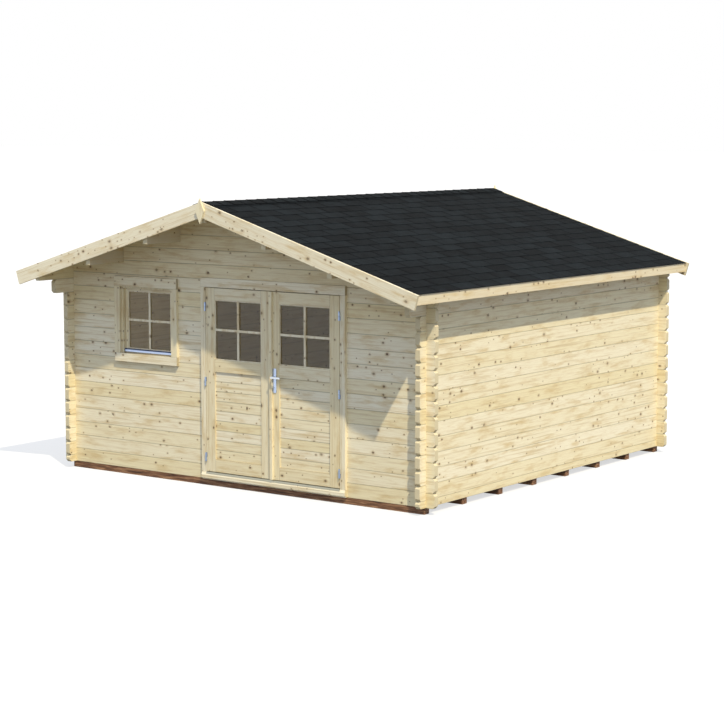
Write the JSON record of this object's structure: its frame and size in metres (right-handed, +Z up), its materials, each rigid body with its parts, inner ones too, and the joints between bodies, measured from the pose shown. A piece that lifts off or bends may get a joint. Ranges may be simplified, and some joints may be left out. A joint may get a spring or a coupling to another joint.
{
  "type": "log cabin",
  "caption": "Log cabin with cross-lapped corners, a low-pitched shingled purlin roof with bargeboards, an outward-opening glazed double door and a fixed window.",
  "frame": {"origin": "on the ground under the bearers, at the middle of the roof's plan", "axes": "+X right and +Y back as seen from the door, +Z up"},
  "size_m": [4.8, 4.9662, 2.7439],
  "materials": {
    "spruce_log": "planed spruce, untreated",
    "spruce_board": "planed spruce, untreated",
    "spruce_joinery": "planed spruce, untreated",
    "spruce_floor": "planed spruce floor boards",
    "treated_timber": "pressure-treated brown, sawn",
    "bitumen_shingle": "bitumen shingle with mineral granules",
    "window_pane": "clear float glass",
    "satin_steel": "satin",
    "anodised_bar": "anodised"
  },
  "bodies": {
    "cabin": {"front_wall_left_logs": "spruce_log", "front_wall_right_logs": "spruce_log", "front_gable_logs": "spruce_log", "back_wall_logs": "spruce_log", "back_gable_logs": "spruce_log", "left_wall_logs": "spruce_log", "right_wall_logs": "spruce_log", "ridge_purlin": "spruce_board", "left_purlins": "spruce_board", "right_purlins": "spruce_board", "left_roof_deck": "spruce_board", "right_roof_deck": "spruce_board", "front_left_bargeboard": "spruce_board", "front_right_bargeboard": "spruce_board", "back_left_bargeboard": "spruce_board", "back_right_bargeboard": "spruce_board", "left_fascia": "spruce_board", "right_fascia": "spruce_board", "front_finial": "spruce_board", "back_finial": "spruce_board", "door_frame": "spruce_joinery", "door_casing": "spruce_joinery", "door_threshold": "spruce_joinery", "window_frame": "spruce_joinery", "window_casing": "spruce_joinery", "window_sash": "spruce_joinery", "floor_deck": "spruce_floor", "foundation_bearers": "treated_timber", "left_roof_shingles": "bitumen_shingle", "right_roof_shingles": "bitumen_shingle", "ridge_capping": "bitumen_shingle", "window_glass": "window_pane", "frame_hinges": "satin_steel", "window_drip_bar": "anodised_bar"},
    "left_leaf": {"left_door_leaf": "spruce_joinery", "left_door_panel": "spruce_joinery", "left_door_glass": "window_pane", "left_leaf_hinges": "satin_steel"},
    "right_leaf": {"right_door_leaf": "spruce_joinery", "right_door_panel": "spruce_joinery", "right_door_glass": "window_pane", "right_leaf_hinges": "satin_steel", "meeting_strip": "spruce_joinery", "lock_plates": "satin_steel"},
    "handle": {"lever_handle": "satin_steel"}
  },
  "joints": [
    {"name": "left_leaf_hinge", "type": "hinge", "parent": "cabin", "child": "left_leaf", "pos_m": [-0.355, -2.0101, 0], "axis": [0, 0, -1], "range_deg": [0, 165]},
    {"name": "right_leaf_hinge", "type": "hinge", "parent": "cabin", "child": "right_leaf", "pos_m": [1.227, -2.0101, 0], "axis": [0, 0, 1], "range_deg": [0, 165]},
    {"name": "lever_turn", "type": "hinge", "parent": "right_leaf", "child": "handle", "pos_m": [0.479, -2.0018, 1.1003], "axis": [0, 1, 0], "range_deg": [0, 45], "stiffness_Nm_per_rad": 1, "springref_deg": -20.05}
  ]
}
